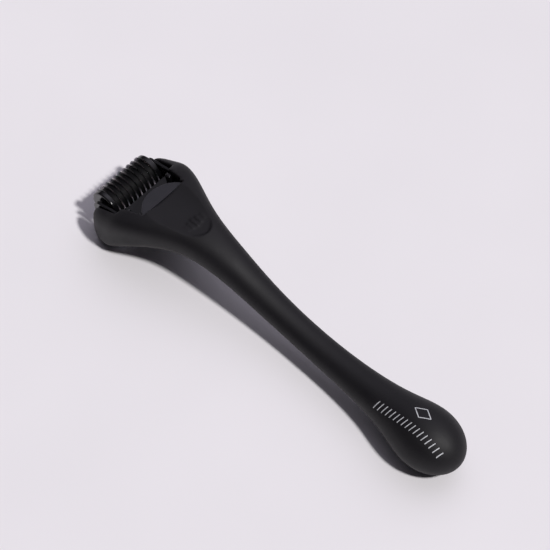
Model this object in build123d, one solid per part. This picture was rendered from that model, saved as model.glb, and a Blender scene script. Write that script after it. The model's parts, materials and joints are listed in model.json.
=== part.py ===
from build123d import *
import os
from math import atan2, copysign, cos, degrees, pi, radians, sin

# Derma roller, in millimetres. +X runs from the needle head to the bulb end of the handle, +Z is up
# as the tool lies on a table, and y = 0 is its plane of symmetry. Origin: bottom centre of its box.

# Overall sizes
LENGTH = 142.0
BULB_END_X = LENGTH / 2
WALL = 1.8
SECTION_POINTS = 20

# Handle sections from the fork to the bulb:
# x, half width, half height, height of the centre, squareness, parting line's drop below the centre
FORK_STATIONS = [
    (-67.2, 12.9, 3.4, 8.5, 3.4, 1.4),
    (-66.4, 13.9, 6.9, 7.9, 3.8, 2.9),
    (-64.4, 15.0, 9.0, 7.2, 4.2, 4.6),
    (-61.0, 15.7, 9.4, 8.2, 4.6, 5.4),
    (-56.5, 15.9, 8.7, 11.4, 4.6, 5.4),
    (-50.0, 14.3, 7.6, 15.0, 3.6, 4.8),
    (-42.5, 11.1, 6.6, 17.3, 2.8, 3.6),
    (-34.0, 8.0, 5.9, 18.2, 2.4, 2.8),
]
GRIP_STATIONS = [
    (-23.0, 6.1, 5.4, 17.0, 2.1, 2.2),
    (-9.0, 5.0, 4.7, 13.6, 2.0, 1.7),
    (6.0, 4.6, 4.35, 10.8, 2.0, 1.5),
    (20.0, 4.8, 4.55, 9.6, 2.0, 1.5),
    (34.0, 5.6, 5.3, 9.5, 2.0, 1.7),
    (47.0, 7.7, 7.2, 9.6, 2.0, 2.4),
]
BULB = (58.0, 9.9, 9.3, 9.25, 2.0, 3.2)
DOME_ANGLES = (24.0, 46.0, 65.0, 80.0)

# Fork: the pocket between the arms, and the narrowing channel behind it, in the cartridge's frame
POCKET_HALF_WIDTH = 12.0
POCKET_DEPTH = 8.9
POCKET_REACH = 30.0
CHANNEL_FRONT_HALF_WIDTH = 10.4
CHANNEL_BACK_HALF_WIDTH = 8.9
CHANNEL_DEPTH = 16.2

# Needle drum
DRUM_Z = 11.5
TEETH = 54
DISCS = 10
DISC_PITCH = 1.8
DISC_THICKNESS = 0.3
TIP_RADIUS = 5.6
ROOT_RADIUS = 4.7
SPACER_RADIUS = 4.6
CORE_RADIUS = 2.4
CORE_CLEARANCE = 0.05
AXLE_RADIUS = 1.0
RUNNING_CLEARANCE = 0.05
CAP_RADIUS = 5.3
CAP_THICKNESS = 1.6
CAP_ROUNDING = 0.5
BOSS_RADIUS = 1.9
BOSS_HEIGHT = 0.45
DISC_TWIST = 360 / TEETH / 3
DRUM_X = TIP_RADIUS - LENGTH / 2

# Cartridge, in a frame at the drum's axis that leans with the fork
HEAD_TILT = 14.0
CHEEK_INNER = 10.5
CHEEK_OUTER = 11.6
CHEEK_RADIUS = 3.0
CHEEK_TOP = 3.4
FRAME_ROUNDING = 0.5
BRIDGE_FRONT = 6.7
BRIDGE_BOTTOM = -3.0
BRIDGE_TOP = 1.0
LUG_LOW = (9.2, 7.9)
LUG_HIGH = (11.3, 9.4)
LUG_TOP = 4.7
SEAT_GAP = 0.2
TONGUE_LENGTH = 6.0
TONGUE_HALF_WIDTH = 5.5
TONGUE_BOTTOM = -1.2
TONGUE_ROOT = 1.0
TONGUE_GAP = 0.15
PEDESTAL_FRONT = 13.2
PEDESTAL_HALF_WIDTH = 5.0

# Guard plate: a segment of a disc over the bridge
GUARD_TOP = 5.9
GUARD_THICKNESS = 1.1
GUARD_CHORD = 17.35
GUARD_HALF_CHORD = 8.5
GUARD_DEPTH = 5.6
GUARD_ROUNDING = 0.35
GUARD_GAP = 0.3

# Thumb recess behind the guard plate: a scoop with a straight, gently rising bottom line
RECESS_START = (-50.2, 21.5)
RECESS_END = (-30.8, 23.3)
RECESS_HALF_WIDTH = 8.4
RECESS_SHOULDER = (0.5, 6.7)
RECESS_NOSE_TURN = (0.2, -1.0)
SCOOP_RADIUS = 30.0
RIB_COUNT = 5
RIB_PITCH = 1.7
RIB_WIDTH = 0.6
RIB_LENGTH = 3.4
RIB_HEIGHT = 0.35
RIB_X = -36.5

# Pins that locate the two shells of the handle
PIN_PLACES_X = (-23.0, 6.0, 34.0, 52.0)
PIN_RADIUS = 0.9
PIN_LENGTH = 2.0
PIN_CLEARANCE = 0.1
POST_RADIUS = 1.9


def section(x, half_width, half_height, centre, squareness):
    """A smooth closed cross-section across X: a superellipse through points that start at its bottom."""
    points = []
    for i in range(SECTION_POINTS):
        c = sin(2 * pi * i / SECTION_POINTS)
        s = -cos(2 * pi * i / SECTION_POINTS)
        y = half_width * copysign(abs(c) ** (2 / squareness), c)
        z = centre + half_height * copysign(abs(s) ** (2 / squareness), s)
        points.append((x, y, z))
    return Wire([Spline(*points, periodic=True)])


def dome_sections(inset):
    """Sections of the round bulb end, shrinking as a quarter ellipse, and the point that closes it."""
    x, half_width, half_height, centre, squareness, _ = BULB
    depth = BULB_END_X - inset - x
    sections = []
    for angle in DOME_ANGLES:
        along = x + depth * sin(radians(angle))
        shrink = cos(radians(angle))
        width = (half_width - inset) * shrink
        height = (half_height - inset) * shrink
        sections.append(section(along, width, height, centre, squareness))
    return sections + [Vertex(x + depth, 0, centre)]


def body_loft(stations, inset=0.0):
    """The handle's form through the given stations and the bulb end, drawn in by inset."""
    sections = []
    for x, half_width, half_height, centre, squareness, _ in stations:
        sections.append(section(x, half_width - inset, half_height - inset, centre, squareness))
    return Solid.make_loft(sections + dome_sections(inset))


def side_prism(outline, half_width):
    """A closed outline drawn in the XZ plane, given depth to both sides of y = 0."""
    return extrude(Plane.XZ * make_face(outline), half_width, both=True)


def block(low, high):
    """A box between two corners."""
    size = [h - l for l, h in zip(low, high)]
    middle = [(l + h) / 2 for l, h in zip(low, high)]
    return Pos(*middle) * Box(*size)


def across(radius, length, y=0.0):
    """A cylinder along Y, centred on the drum's axis at that y."""
    return Pos(0, y, 0) * Rot(90, 0, 0) * Cylinder(radius, length)


def leaning(shape):
    """Moves a shape from the cartridge's frame, whose origin is on the drum's axis, to its place."""
    return Pos(DRUM_X, 0, DRUM_Z) * Rot(0, -HEAD_TILT, 0) * shape


def above_table():
    """Everything above the table, so that the arms and the bulb end rest on small flats."""
    far = 2 * LENGTH
    return block((-far, -far, 0), (far, far, far))


def segment_outline(grow):
    """The guard plate's plan in the cartridge's frame: a chord and an arc towards the drum."""
    chord = GUARD_CHORD + grow
    side = GUARD_HALF_CHORD + grow
    arc = ThreePointArc((chord, -side), (GUARD_CHORD - GUARD_DEPTH - grow, 0), (chord, side))
    return make_face(arc + Line((chord, side), (chord, -side)))


def channel_outline(inset):
    """The plan of the channel behind the pocket, drawn in by inset, from the drum's side to its back."""
    front = CHANNEL_FRONT_HALF_WIDTH - inset
    back = CHANNEL_BACK_HALF_WIDTH - inset
    start = BRIDGE_FRONT
    end = CHANNEL_DEPTH - inset
    return make_face(Polyline((start, -front), (end, -back), (end, back), (start, front), close=True))


def pocket():
    """The room between the arms, the channel behind it, the tongue's socket and the plate's seat."""
    reach = POCKET_REACH
    gap = TONGUE_GAP
    room = block((-reach, -POCKET_HALF_WIDTH, -reach), (POCKET_DEPTH, POCKET_HALF_WIDTH, reach))
    channel = Pos(0, 0, BRIDGE_BOTTOM - gap) * extrude(channel_outline(0), reach)
    half = TONGUE_HALF_WIDTH + gap
    socket_end = CHANNEL_DEPTH + TONGUE_LENGTH + gap
    socket = block((0, -half, TONGUE_BOTTOM - gap), (socket_end, half, BRIDGE_TOP + gap))
    seat = Pos(0, 0, GUARD_TOP - GUARD_THICKNESS - gap) * extrude(segment_outline(GUARD_GAP), reach)
    return leaning(room + channel + socket + seat)


def recess_outline():
    """The recess in plan: a straight front edge and two convex sides that meet in a round nose."""
    start, end = RECESS_START[0], RECESS_END[0]
    along, shoulder = RECESS_SHOULDER
    turn_x, turn_y = RECESS_NOSE_TURN
    sides = []
    for side in (-1, 1):
        corner = (start, side * RECESS_HALF_WIDTH)
        middle = (start + along * (end - start), side * shoulder)
        sides.append(Spline(corner, middle, (end, 0), tangents=((1, 0), (turn_x, side * turn_y))))
    front = Line((start, -RECESS_HALF_WIDTH), (start, RECESS_HALF_WIDTH))
    return make_face(sides[0] + sides[1] + front)


def recess():
    """The shallow scoop behind the guard plate, less a row of small ribs that stay on its floor."""
    run = RECESS_END[0] - RECESS_START[0]
    rise = RECESS_END[1] - RECESS_START[1]
    slope = degrees(atan2(rise, run))
    floor = Pos(RECESS_START[0], 0, RECESS_START[1]) * Rot(0, -slope, 0)
    scoop = floor * Pos(0, 0, SCOOP_RADIUS) * Rot(0, 90, 0) * Cylinder(SCOOP_RADIUS, LENGTH)
    hollow = extrude(recess_outline(), LENGTH) & scoop
    for i in range(RIB_COUNT):
        offset = i - (RIB_COUNT - 1) / 2
        rib = Box(RIB_LENGTH - abs(offset) * RIB_WIDTH, RIB_WIDTH, 2 * RIB_HEIGHT)
        hollow -= floor * Pos(RIB_X - RECESS_START[0], offset * RIB_PITCH, 0) * rib
    return hollow


def below_parting():
    """Everything below the parting line between the upper and the lower shell."""
    far = LENGTH
    points = [(x, z - drop) for x, _, _, z, _, drop in FORK_STATIONS + GRIP_STATIONS + [BULB]]
    end = (BULB_END_X + WALL, BULB[3] - BULB[5])
    line = Spline(*points, end)
    rest = Polyline(end, (end[0], -far), (points[0][0], -far), points[0])
    return side_prism(line + rest, POCKET_REACH)


def handle_shells():
    """The two halves of the hollow handle, with posts and pins that locate them."""
    stations = FORK_STATIONS + GRIP_STATIONS + [BULB]
    outer = (body_loft(stations) & above_table()) - pocket() - recess()
    walls = outer - body_loft([FORK_STATIONS[-1]] + GRIP_STATIONS + [BULB], WALL)
    core = body_loft(GRIP_STATIONS + [BULB], WALL / 2)
    below = below_parting()
    upper = walls - below
    lower = walls & below
    for x in PIN_PLACES_X:
        column = Pos(x, 0, 0) * Cylinder(POST_RADIUS, LENGTH) & core
        upper += column - below
        lower += column & below
        top = (column & below).bounding_box().max.Z
        lower += Pos(x, 0, top) * Cylinder(PIN_RADIUS, 2 * PIN_LENGTH)
        upper -= Pos(x, 0, top) * Cylinder(PIN_RADIUS + PIN_CLEARANCE, 2 * (PIN_LENGTH + PIN_CLEARANCE))
    return upper, lower


def cheek(side):
    """One side of the carrier: a rounded ear on the axle with an arm to the back."""
    back = POCKET_DEPTH - SEAT_GAP
    points = [(0, CHEEK_RADIUS), (back, CHEEK_TOP), (back, BRIDGE_BOTTOM), (0, -CHEEK_RADIUS)]
    arm = make_face(Polyline(*points, close=True))
    slab = extrude(Plane.XZ * (Circle(CHEEK_RADIUS) + arm), (CHEEK_OUTER - CHEEK_INNER) / 2, both=True)
    slab = fillet(slab.edges().filter_by(Axis.Y, reverse=True), FRAME_ROUNDING / 2)
    return Pos(0, side * (CHEEK_OUTER + CHEEK_INNER) / 2, 0) * slab


def lug(side):
    """A rounded lug that the cartridge is pulled out by."""
    near, far = sorted((side * LUG_LOW[1], side * LUG_HIGH[1]))
    pillar = block((LUG_LOW[0], near, BRIDGE_TOP - FRAME_ROUNDING), (LUG_HIGH[0], far, LUG_TOP))
    soft_edges = pillar.faces().sort_by(Axis.Z)[-1].edges() + pillar.edges().filter_by(Axis.Z)
    return fillet(soft_edges, FRAME_ROUNDING)


def cartridge_frame():
    """The U-shaped carrier that snaps between the arms: cheeks, bridge, lugs, pedestal and tongue."""
    middle = (CHEEK_OUTER + CHEEK_INNER) / 2
    height = BRIDGE_TOP - BRIDGE_BOTTOM
    bridge = Pos(0, 0, BRIDGE_BOTTOM) * extrude(channel_outline(SEAT_GAP), height)
    bar = block((BRIDGE_FRONT, -middle, BRIDGE_BOTTOM), (POCKET_DEPTH - SEAT_GAP, middle, BRIDGE_TOP))
    back = CHANNEL_DEPTH - SEAT_GAP
    half = PEDESTAL_HALF_WIDTH
    pedestal = block((PEDESTAL_FRONT, -half, BRIDGE_BOTTOM), (back, half, GUARD_TOP - GUARD_THICKNESS))
    half = TONGUE_HALF_WIDTH
    tongue = block((back - TONGUE_ROOT, -half, TONGUE_BOTTOM), (back + TONGUE_LENGTH, half, BRIDGE_TOP))
    frame = cheek(-1) + cheek(1) + bridge + bar + pedestal + tongue + lug(-1) + lug(1)
    return leaning(frame - across(AXLE_RADIUS, 3 * CHEEK_OUTER))


def guard_plate():
    """The flat visor over the bridge: a disc segment whose curved edge is rounded."""
    plate = Pos(0, 0, GUARD_TOP - GUARD_THICKNESS) * extrude(segment_outline(0), GUARD_THICKNESS)
    rim = plate.faces().sort_by(Axis.Z)[-1].edges().filter_by(GeomType.CIRCLE)
    return leaning(fillet(rim, GUARD_ROUNDING))


def at_drum(shape):
    """Moves a shape from the drum's own frame to the drum's axis."""
    return Pos(DRUM_X, 0, DRUM_Z) * shape


def ring(outer, thickness, y):
    """A ring on the drum's hexagonal core."""
    bore = extrude(RegularPolygon(CORE_RADIUS + CORE_CLEARANCE, 6), thickness, both=True)
    return Pos(0, y, 0) * Rot(90, 0, 0) * (Cylinder(outer, thickness) - bore)


def needle_disc(index):
    """One steel disc with a tooth for every needle, turned a little against its neighbour."""
    points = []
    for i in range(2 * TEETH):
        angle = pi + pi * i / TEETH
        radius = ROOT_RADIUS if i % 2 else TIP_RADIUS
        points.append((radius * cos(angle), radius * sin(angle)))
    outline = make_face(Polyline(*points, close=True))
    blank = extrude(outline, DISC_THICKNESS / 2, both=True)
    bore = extrude(RegularPolygon(CORE_RADIUS + CORE_CLEARANCE, 6), DISC_THICKNESS, both=True)
    y = (index - (DISCS - 1) / 2) * DISC_PITCH
    return at_drum(Pos(0, y, 0) * Rot(90, 0, 0) * (Rot(0, 0, index * DISC_TWIST) * blank - bore))


def spacer_ring(index):
    """The plastic ring between two needle discs."""
    y = (index + 1 - DISCS / 2) * DISC_PITCH
    return at_drum(ring(SPACER_RADIUS, DISC_PITCH - DISC_THICKNESS, y))


def stack_half_length():
    """Half the length of the stack of needle discs and spacers."""
    return ((DISCS - 1) * DISC_PITCH + DISC_THICKNESS) / 2


def drum_core():
    """The hexagonal sleeve that the discs sit on and that turns on the axle."""
    sleeve = Rot(90, 0, 0) * extrude(RegularPolygon(CORE_RADIUS, 6), stack_half_length(), both=True)
    return at_drum(sleeve - across(AXLE_RADIUS + RUNNING_CLEARANCE, LENGTH))


def end_cap(side):
    """A glossy cap that closes the stack and runs against the cheek on a small boss."""
    cap = Cylinder(CAP_RADIUS, CAP_THICKNESS)
    cap = fillet(cap.edges().sort_by(Axis.Z)[-1], CAP_ROUNDING)
    boss = Pos(0, 0, (CAP_THICKNESS + BOSS_HEIGHT) / 2) * Cylinder(BOSS_RADIUS, BOSS_HEIGHT)
    cap = cap + boss - Cylinder(AXLE_RADIUS + RUNNING_CLEARANCE, LENGTH)
    middle = stack_half_length() + CAP_THICKNESS / 2
    return at_drum(Pos(0, side * middle, 0) * Rot(-90 * side, 0, 0) * cap)


def axle_pin():
    """The steel pin held in both cheeks."""
    return at_drum(across(AXLE_RADIUS, 2 * CHEEK_OUTER))


def write(name, shape):
    """Writes one node."""
    solids = shape.solids()
    export_step(solids[0] if len(solids) == 1 else Compound(children=solids), f"parts/{name}.step")


os.makedirs("parts", exist_ok=True)
upper_shell, lower_shell = handle_shells()
write("handle_upper_shell", upper_shell)
write("handle_lower_shell", lower_shell)
write("cartridge_frame", cartridge_frame())
write("guard_plate", guard_plate())
write("axle_pin", axle_pin())
write("drum_core", drum_core())
write("drum_end_cap_left", end_cap(-1))
write("drum_end_cap_right", end_cap(1))
for disc in range(DISCS):
    write(f"needle_disc_{disc + 1:02d}", needle_disc(disc))
for spacer in range(DISCS - 1):
    write(f"spacer_ring_{spacer + 1:02d}", spacer_ring(spacer))
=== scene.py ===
import json
from math import cos, radians, sin

import bmesh
import bpy
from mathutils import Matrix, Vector
from mathutils.bvhtree import BVHTree


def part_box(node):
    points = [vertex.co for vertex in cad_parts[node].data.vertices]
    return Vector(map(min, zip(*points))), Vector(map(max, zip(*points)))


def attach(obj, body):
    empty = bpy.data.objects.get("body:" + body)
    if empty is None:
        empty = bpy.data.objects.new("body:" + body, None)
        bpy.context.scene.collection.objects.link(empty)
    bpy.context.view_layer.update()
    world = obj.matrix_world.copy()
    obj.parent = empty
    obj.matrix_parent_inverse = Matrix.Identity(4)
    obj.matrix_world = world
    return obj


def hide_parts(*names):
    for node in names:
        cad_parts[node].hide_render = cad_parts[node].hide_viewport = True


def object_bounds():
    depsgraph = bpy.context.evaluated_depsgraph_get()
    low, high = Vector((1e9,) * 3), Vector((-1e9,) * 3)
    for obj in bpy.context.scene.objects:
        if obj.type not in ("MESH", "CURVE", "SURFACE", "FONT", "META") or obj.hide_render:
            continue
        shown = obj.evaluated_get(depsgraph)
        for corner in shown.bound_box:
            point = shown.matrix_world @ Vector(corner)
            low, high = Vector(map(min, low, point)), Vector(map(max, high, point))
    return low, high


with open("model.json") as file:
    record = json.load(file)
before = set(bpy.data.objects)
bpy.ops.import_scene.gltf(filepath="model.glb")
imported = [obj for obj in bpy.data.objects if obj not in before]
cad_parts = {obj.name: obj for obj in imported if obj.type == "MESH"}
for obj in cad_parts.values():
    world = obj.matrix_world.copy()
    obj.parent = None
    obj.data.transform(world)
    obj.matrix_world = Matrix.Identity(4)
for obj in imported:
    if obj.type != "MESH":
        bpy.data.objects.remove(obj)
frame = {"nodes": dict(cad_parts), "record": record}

CAD_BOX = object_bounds()
NODES = frame["nodes"]
MM = 0.001

# Camera: degrees and metres, aimed at a point of the table beside the middle of the roller
CAMERA_AZIMUTH = 44.0
CAMERA_ELEVATION = 57.8
CAMERA_DISTANCE = 0.999
CAMERA_AIM = Vector((-16.55, 13.72, 0.0)) * MM
CAMERA_LENS = 215.8
CAMERA_SENSOR = 36.0
CAMERA_NEAREST = 0.01

# Light: one soft key from the bulb end, and a surround that is brightest high up on the far side
KEY_AZIMUTH = 4.6
KEY_ELEVATION = 57.4
KEY_STRENGTH = 2.7
KEY_SOFTNESS = 5.0
KEY_COLOUR = (1.0, 0.985, 0.985)
SURROUND_COLOUR = (0.98, 0.94, 1.08)
SURROUND_DARK = 0.02
SURROUND_BRIGHT = 1.1
SURROUND_SPREAD = 5.0
SURROUND_AZIMUTH = 110.0
SURROUND_ELEVATION = 58.0

FLOOR_SIZE = 6.0
FLOOR_COLOUR = (0.80, 0.78, 0.80)
FLOOR_DARKEST = 0.985
FLOOR_LIGHTEST = 1.01

# Printed pattern on the bulb: places are measured from the bulb end of the handle
STROKE_COUNT = 17
STROKE_FIRST = 29.5 * MM
STROKE_PITCH = 1.55 * MM
STROKE_LOW_Y = -5.3 * MM
STROKE_HIGH_Y = -3.1 * MM
STROKE_SLANT = 0.7 * MM
DIAMOND_CENTRE = (16.0 * MM, 1.2 * MM)
DIAMOND_HALF = (3.1 * MM, 1.9 * MM)
INK_WIDTH = 0.26 * MM
INK_THICKNESS = 0.03 * MM
INK_STEP = 0.3 * MM
PROBE_HEIGHT = 10 * MM

# Moulded shells: the size of their new faces and how far their edges are softened
WELD_DISTANCE = 0.001 * MM
SHELL_FACE = 0.33 * MM
EDGE_PASSES = 4
RIM_PASSES = 26
RIM_REACH = 2.4 * MM
RIM_WALL_GAP = 0.4 * MM


class Finish:
    """A node material under construction: a Principled shader and the nodes that feed it."""

    def __init__(self, name, colour, roughness, **sockets):
        self.material = bpy.data.materials.new(name)
        self.material.use_nodes = True
        self.tree = self.material.node_tree
        self.shader = self.tree.nodes["Principled BSDF"]
        self.shader.inputs["Base Color"].default_value = (*colour, 1.0)
        self.shader.inputs["Roughness"].default_value = roughness
        for socket, value in sockets.items():
            self.shader.inputs[socket.replace("_", " ")].default_value = value
        self.place = self.tree.nodes.new("ShaderNodeTexCoord").outputs["Object"]
        self.bumps = None

    def node(self, kind, **settings):
        made = self.tree.nodes.new(kind)
        for key, value in settings.items():
            setattr(made, key, value)
        return made

    def noise(self, size, detail=4.0, stretch=(1.0, 1.0, 1.0)):
        """Noise whose features are about size metres across, stretched along the axes."""
        mapping = self.node("ShaderNodeMapping")
        mapping.inputs["Scale"].default_value = stretch
        self.tree.links.new(self.place, mapping.inputs["Vector"])
        noise = self.node("ShaderNodeTexNoise")
        noise.inputs["Scale"].default_value = 1.0 / size
        noise.inputs["Detail"].default_value = detail
        self.tree.links.new(mapping.outputs["Vector"], noise.inputs["Vector"])
        return noise.outputs["Fac"]

    def ramp(self, factor, stops):
        """Colours by factor: stops are (position, colour) pairs."""
        ramp = self.node("ShaderNodeValToRGB")
        elements = ramp.color_ramp.elements
        while len(elements) < len(stops):
            elements.new(0.5)
        for element, (position, colour) in zip(elements, stops):
            element.position = position
            element.color = (*colour, 1.0)
        self.tree.links.new(factor, ramp.inputs["Fac"])
        return ramp.outputs["Color"]

    def vary_colour(self, factor, *stops):
        self.tree.links.new(self.ramp(factor, stops), self.shader.inputs["Base Color"])

    def vary_roughness(self, factor, low, high, start=0.3, end=0.7):
        spread = self.node("ShaderNodeMapRange")
        spread.inputs["From Min"].default_value = start
        spread.inputs["From Max"].default_value = end
        spread.inputs["To Min"].default_value = low
        spread.inputs["To Max"].default_value = high
        self.tree.links.new(factor, spread.inputs["Value"])
        self.tree.links.new(spread.outputs["Result"], self.shader.inputs["Roughness"])

    def bump(self, factor, depth, strength=1.0):
        """Adds relief of depth metres; later calls lie on top of earlier ones."""
        bump = self.node("ShaderNodeBump")
        bump.inputs["Strength"].default_value = strength
        bump.inputs["Distance"].default_value = depth
        self.tree.links.new(factor, bump.inputs["Height"])
        if self.bumps is not None:
            self.tree.links.new(self.bumps, bump.inputs["Normal"])
        self.bumps = bump.outputs["Normal"]
        self.tree.links.new(self.bumps, self.shader.inputs["Normal"])


def soft_touch_black():
    """The rubbery matte lacquer on the handle: fine grain, faint smudges from hands."""
    finish = Finish("soft_touch_black", (0.004, 0.0034, 0.0048), 0.58, Specular_IOR_Level=0.36)
    smudges = finish.noise(14 * MM, detail=3.0, stretch=(0.6, 1.0, 1.0))
    finish.vary_colour(smudges, (0.3, (0.0034, 0.0029, 0.0042)), (0.7, (0.0048, 0.0041, 0.0058)))
    finish.vary_roughness(finish.noise(5 * MM, detail=5.0), 0.55, 0.62)
    finish.bump(finish.noise(0.18 * MM, detail=2.0), 0.006 * MM, 0.5)
    return finish.material


def gloss_black():
    """Polished black moulding of the cartridge: faint flow waves and hairline scuffs."""
    finish = Finish("gloss_black", (0.002, 0.002, 0.0025), 0.16, Specular_IOR_Level=0.5)
    flow = finish.noise(6 * MM, detail=2.0)
    finish.vary_colour(flow, (0.3, (0.0015, 0.0015, 0.002)), (0.7, (0.003, 0.003, 0.0035)))
    finish.vary_roughness(finish.noise(0.5 * MM, detail=5.0, stretch=(0.2, 1.0, 1.0)), 0.12, 0.22)
    finish.bump(flow, 0.02 * MM, 0.3)
    return finish.material


def dark_grey_plastic():
    """Satin dark grey of the guard plate, with a fine spark-eroded grain."""
    finish = Finish("dark_grey_plastic", (0.018, 0.018, 0.022), 0.42, Specular_IOR_Level=0.5)
    finish.vary_colour(finish.noise(4 * MM), (0.3, (0.015, 0.015, 0.019)), (0.7, (0.020, 0.019, 0.024)))
    grain = finish.noise(0.12 * MM, detail=2.0)
    finish.vary_roughness(grain, 0.38, 0.48)
    finish.bump(grain, 0.008 * MM, 0.5)
    return finish.material


def matte_black_plastic():
    """Unpainted black moulding of the spacer rings and the core."""
    finish = Finish("matte_black_plastic", (0.002, 0.002, 0.0024), 0.5, Specular_IOR_Level=0.1)
    finish.vary_colour(
        finish.noise(1.5 * MM),
        (0.3, (0.0014, 0.0014, 0.0018)),
        (0.7, (0.0028, 0.0028, 0.0032)),
    )
    grain = finish.noise(0.1 * MM, detail=3.0)
    finish.vary_roughness(grain, 0.46, 0.6)
    finish.bump(grain, 0.01 * MM, 0.4)
    return finish.material


def dark_needle_steel():
    """Black-coated stamped steel: warm and cool tints in the coating and fine stamping marks."""
    finish = Finish("dark_needle_steel", (0.03, 0.03, 0.032), 0.34, Metallic=1.0)
    tint = finish.noise(2.2 * MM, detail=3.0)
    finish.vary_colour(
        tint,
        (0.32, (0.07, 0.09, 0.085)),
        (0.5, (0.22, 0.21, 0.22)),
        (0.68, (0.36, 0.33, 0.33)),
    )
    marks = finish.noise(0.12 * MM, detail=4.0, stretch=(1.0, 0.3, 1.0))
    finish.vary_roughness(marks, 0.24, 0.46)
    finish.bump(marks, 0.01 * MM, 0.4)
    return finish.material


def steel_pin():
    """Ground steel of the axle: turning marks run round the pin."""
    finish = Finish("steel_pin", (0.45, 0.45, 0.47), 0.28, Metallic=1.0)
    marks = finish.noise(0.25 * MM, detail=3.0, stretch=(0.1, 1.0, 0.1))
    finish.vary_colour(marks, (0.3, (0.36, 0.36, 0.38)), (0.7, (0.50, 0.50, 0.52)))
    finish.vary_roughness(marks, 0.2, 0.36)
    finish.bump(marks, 0.005 * MM, 0.4)
    return finish.material


def white_ink():
    """Pad-printed white: a little uneven in cover."""
    finish = Finish("white_ink", (0.55, 0.56, 0.58), 0.5)
    finish.vary_colour(finish.noise(0.5 * MM), (0.3, (0.40, 0.41, 0.43)), (0.65, (0.62, 0.63, 0.65)))
    grain = finish.noise(0.06 * MM, detail=2.0)
    finish.vary_roughness(grain, 0.42, 0.6)
    finish.bump(grain, 0.003 * MM, 0.4)
    return finish.material


def table_top():
    """Pale matte table with a barely visible tooth."""
    finish = Finish("table_top", FLOOR_COLOUR, 0.7, Specular_IOR_Level=0.2)
    low = tuple(FLOOR_DARKEST * c for c in FLOOR_COLOUR)
    high = tuple(FLOOR_LIGHTEST * c for c in FLOOR_COLOUR)
    finish.vary_colour(finish.noise(60 * MM, detail=2.0), (0.3, low), (0.7, high))
    grain = finish.noise(0.8 * MM, detail=3.0)
    finish.vary_roughness(grain, 0.65, 0.75)
    finish.bump(grain, 0.01 * MM, 0.3)
    return finish.material


def finish_cad_nodes(finishes):
    """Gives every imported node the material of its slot."""
    for subpart in frame["record"]["subparts"]:
        piece = NODES[subpart["node"]]
        piece.data.materials.clear()
        piece.data.materials.append(finishes[subpart["material_slot"]])


def evaluated_mesh(piece):
    """A new mesh of what the piece looks like with its modifiers."""
    graph = bpy.context.evaluated_depsgraph_get()
    return bpy.data.meshes.new_from_object(piece.evaluated_get(graph))


def rim_weight(point, wall, back, low):
    """How strongly a shell is rounded at a point: full at the rim of the fork's pocket, none away."""
    aside = abs(abs(point.y) - wall) / RIM_REACH
    behind = (point.x - back) / RIM_REACH
    below = (low - point.z) / RIM_REACH
    return 1.0 - min(1.0, max(0.0, aside, behind, below))


def weigh_rim(piece):
    """Gives a shell a vertex group that is strongest at the rim of the pocket."""
    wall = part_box("cartridge_frame")[1][1] + RIM_WALL_GAP
    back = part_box("guard_plate")[0][0]
    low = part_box("drum_core")[1][2]
    rim = piece.vertex_groups.new(name="rim")
    for vertex in piece.data.vertices:
        weight = rim_weight(vertex.co, wall, back, low)
        if weight > 0:
            rim.add([vertex.index], weight, "REPLACE")


def soften(piece, passes, group=""):
    """Rounds the edges of a fine mesh."""
    smooth = piece.modifiers.new("soften", "SMOOTH")
    smooth.iterations = passes
    smooth.vertex_group = group


def moulded_shell(node, finish):
    """A shell of the handle as it comes out of the mould: evenly fine faces and softened edges."""
    rough = NODES[node].copy()
    bpy.context.scene.collection.objects.link(rough)
    weld = rough.modifiers.new("weld", "WELD")
    weld.merge_threshold = WELD_DISTANCE
    remesh = rough.modifiers.new("remesh", "REMESH")
    remesh.mode = "VOXEL"
    remesh.voxel_size = SHELL_FACE
    piece = bpy.data.objects.new(node.replace("handle", "moulded"), evaluated_mesh(rough))
    bpy.data.objects.remove(rough)
    bpy.context.scene.collection.objects.link(piece)
    weigh_rim(piece)
    soften(piece, EDGE_PASSES)
    soften(piece, RIM_PASSES, "rim")
    piece.data = evaluated_mesh(piece)
    piece.modifiers.clear()
    piece.data.shade_smooth()
    piece.data.materials.clear()
    piece.data.materials.append(finish)
    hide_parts(node)
    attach(piece, "handle")
    return piece


def surface_below(tree, x, y):
    """The point of the handle's top straight below (x, y), and its normal."""
    above = CAD_BOX[1][2] + PROBE_HEIGHT
    point, normal, _, _ = tree.ray_cast(Vector((x, y, above)), Vector((0, 0, -1)))
    return point, normal


def ink_ribbon(mesh, tree, start, end):
    """A thin printed line on the handle between two points of its plan."""
    run = Vector(end) - Vector(start)
    steps = max(2, round(run.length / INK_STEP))
    side = Vector((-run.y, run.x)).normalized() * INK_WIDTH / 2
    rows = []
    for i in range(steps + 1):
        middle = Vector(start) + run * (i / steps)
        pair = []
        for sign in (-1, 1):
            point, normal = surface_below(tree, *(middle + sign * side))
            for height in (-INK_THICKNESS, INK_THICKNESS):
                pair.append(mesh.verts.new(point + normal * height))
        rows.append(pair)
    for (a, b, c, d), (e, f, g, h) in zip(rows, rows[1:]):
        for corners in ((b, d, h, f), (a, e, g, c), (a, b, f, e), (c, g, h, d)):
            mesh.faces.new(corners)
    for a, b, c, d in (rows[0], rows[-1]):
        mesh.faces.new((a, b, d, c))


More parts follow.
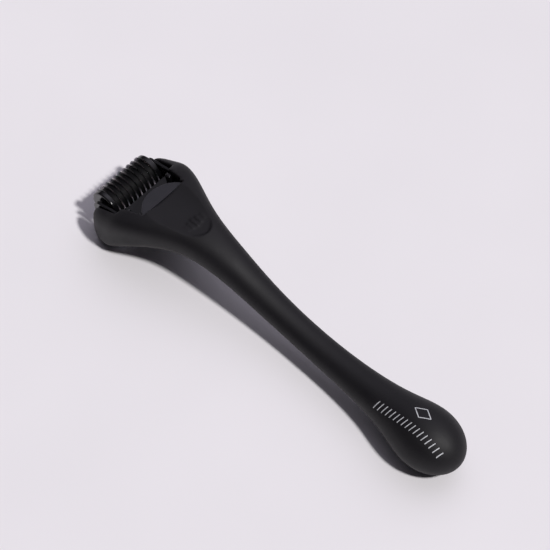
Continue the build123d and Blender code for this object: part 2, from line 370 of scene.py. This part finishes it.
def printed_pattern(shell):
    """A row of slanted strokes and a small diamond, pad-printed on the bulb."""
    tree = BVHTree.FromObject(shell, bpy.context.evaluated_depsgraph_get())
    end_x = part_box("handle_upper_shell")[1].x
    mesh = bmesh.new()
    for i in range(STROKE_COUNT):
        x = end_x - STROKE_FIRST + i * STROKE_PITCH
        ink_ribbon(mesh, tree, (x, STROKE_LOW_Y), (x + STROKE_SLANT, STROKE_HIGH_Y))
    centre = Vector((end_x - DIAMOND_CENTRE[0], DIAMOND_CENTRE[1]))
    corners = [centre + Vector((dx * DIAMOND_HALF[0], dy * DIAMOND_HALF[1]))
               for dx, dy in ((1, 0), (0, 1), (-1, 0), (0, -1))]
    for start, end in zip(corners, corners[1:] + corners[:1]):
        ink_ribbon(mesh, tree, start, end)
    bmesh.ops.recalc_face_normals(mesh, faces=mesh.faces)
    data = bpy.data.meshes.new("printed_pattern")
    mesh.to_mesh(data)
    mesh.free()
    piece = bpy.data.objects.new("printed_pattern", data)
    bpy.context.scene.collection.objects.link(piece)
    data.materials.append(white_ink())
    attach(piece, "handle")


def table():
    """The pale surface that the roller lies on."""
    data = bpy.data.meshes.new("table")
    half = FLOOR_SIZE / 2
    corners = [(-half, -half, 0), (half, -half, 0), (half, half, 0), (-half, half, 0)]
    data.from_pydata(corners, [], [(0, 1, 2, 3)])
    piece = bpy.data.objects.new("table", data)
    bpy.context.scene.collection.objects.link(piece)
    data.materials.append(table_top())


def direction(azimuth, elevation):
    """A unit vector towards an azimuth, counted from +X, and an elevation, in degrees."""
    flat = cos(radians(elevation))
    return Vector((flat * cos(radians(azimuth)), flat * sin(radians(azimuth)), sin(radians(elevation))))


def key_light():
    """The soft key from the bulb end."""
    lamp = bpy.data.lights.new("key", "SUN")
    lamp.energy = KEY_STRENGTH
    lamp.angle = radians(KEY_SOFTNESS)
    lamp.color = KEY_COLOUR
    key = bpy.data.objects.new("key", lamp)
    key.rotation_euler = direction(KEY_AZIMUTH, KEY_ELEVATION).to_track_quat("Z", "Y").to_euler()
    bpy.context.scene.collection.objects.link(key)


def surround():
    """The world's light: a broad lobe round one direction over a dim rest."""
    world = bpy.data.worlds.new("surround")
    world.use_nodes = True
    nodes, links = world.node_tree.nodes, world.node_tree.links
    background = nodes["Background"]
    background.inputs["Color"].default_value = (*SURROUND_COLOUR, 1.0)
    place = nodes.new("ShaderNodeTexCoord")
    facing = nodes.new("ShaderNodeVectorMath")
    facing.operation = "DOT_PRODUCT"
    facing.inputs[1].default_value = direction(SURROUND_AZIMUTH, SURROUND_ELEVATION)
    near_side = nodes.new("ShaderNodeMath")
    near_side.operation = "MAXIMUM"
    near_side.inputs[1].default_value = 0.0
    lobe = nodes.new("ShaderNodeMath")
    lobe.operation = "POWER"
    lobe.inputs[1].default_value = SURROUND_SPREAD
    rise = nodes.new("ShaderNodeMapRange")
    rise.inputs["To Min"].default_value = SURROUND_DARK
    rise.inputs["To Max"].default_value = SURROUND_BRIGHT
    links.new(place.outputs["Generated"], facing.inputs[0])
    links.new(facing.outputs["Value"], near_side.inputs[0])
    links.new(near_side.outputs["Value"], lobe.inputs[0])
    links.new(lobe.outputs["Value"], rise.inputs["Value"])
    links.new(rise.outputs["Result"], background.inputs["Strength"])
    bpy.context.scene.world = world


def camera():
    """The camera, looking down on the roller from beside the bulb."""
    lens = bpy.data.cameras.new("camera")
    lens.lens = CAMERA_LENS
    lens.sensor_width = CAMERA_SENSOR
    lens.clip_start = CAMERA_NEAREST
    piece = bpy.data.objects.new("camera", lens)
    back = direction(CAMERA_AZIMUTH - 90, CAMERA_ELEVATION)
    piece.location = CAMERA_AIM + back * CAMERA_DISTANCE
    piece.rotation_euler = back.to_track_quat("Z", "Y").to_euler()
    bpy.context.scene.collection.objects.link(piece)
    bpy.context.scene.camera = piece
    bpy.context.scene.view_settings.view_transform = "Standard"


FINISHES = {
    "soft_touch_black": soft_touch_black(),
    "gloss_black": gloss_black(),
    "dark_grey_plastic": dark_grey_plastic(),
    "matte_black_plastic": matte_black_plastic(),
    "dark_needle_steel": dark_needle_steel(),
    "steel_pin": steel_pin(),
}
finish_cad_nodes(FINISHES)
upper_shell = moulded_shell("handle_upper_shell", FINISHES["soft_touch_black"])
moulded_shell("handle_lower_shell", FINISHES["soft_touch_black"])
printed_pattern(upper_shell)
table()
key_light()
surround()
camera()
